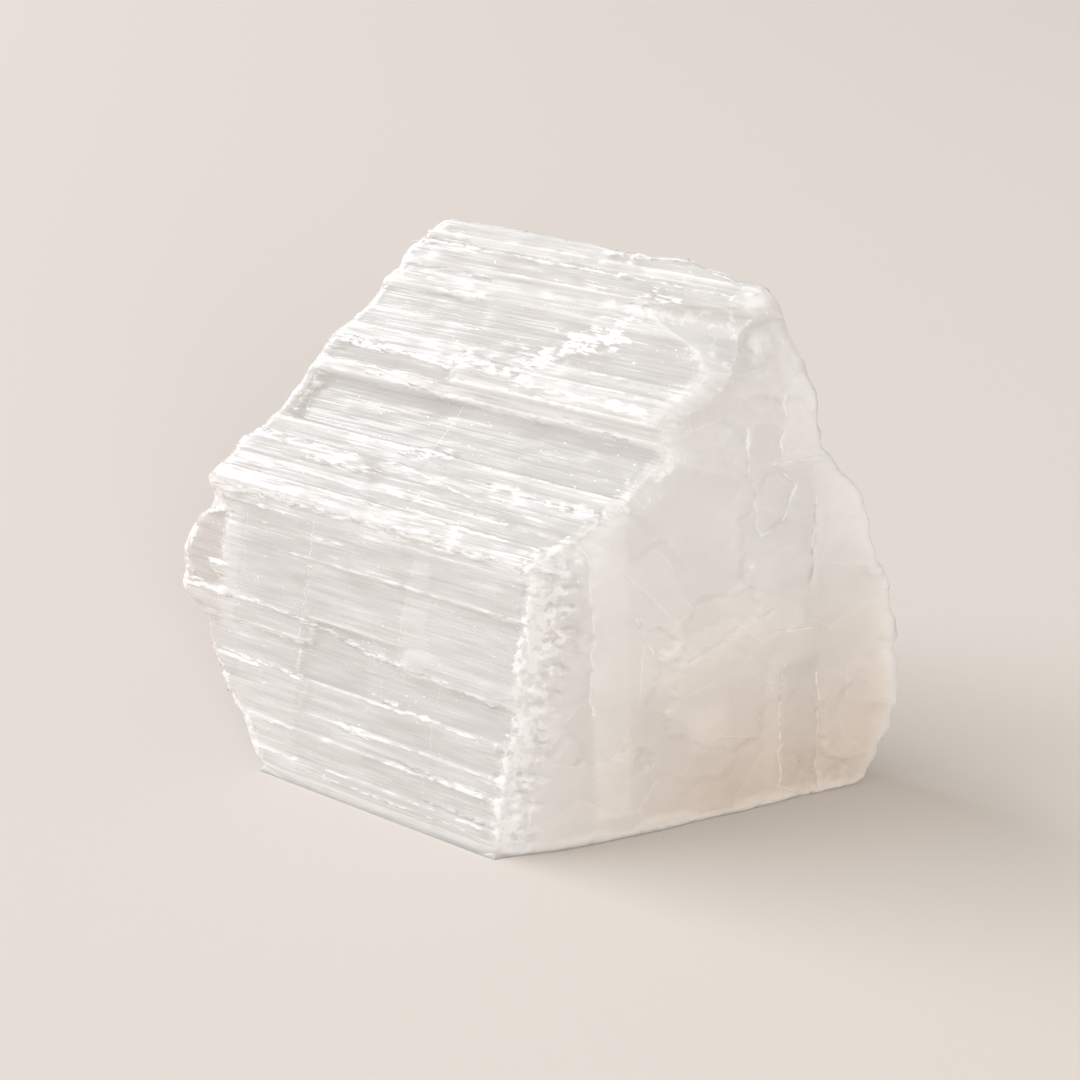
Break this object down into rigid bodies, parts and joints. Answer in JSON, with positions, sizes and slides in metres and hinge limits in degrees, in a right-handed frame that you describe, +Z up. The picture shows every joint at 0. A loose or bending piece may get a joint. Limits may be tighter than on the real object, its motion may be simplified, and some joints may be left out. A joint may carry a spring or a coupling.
{
  "type": "selenite crystal block",
  "caption": "Broken block of fibrous selenite with a slanted, ledged top face, one smooth oblique broken end and a flat base to rest on.",
  "frame": {"origin": "under the middle of the bounding box, on the plane that the base rests on", "axes": "+X along the fibres towards the smooth broken end, +Y towards the steep back face, +Z up"},
  "size_m": [0.0714, 0.0338, 0.0552],
  "materials": {
    "selenite": "silky, translucent milky white with bright fibre lines; the broken ends are smooth and milky"
  },
  "bodies": {
    "root": {"selenite_block": "selenite"}
  },
  "joints": []
}
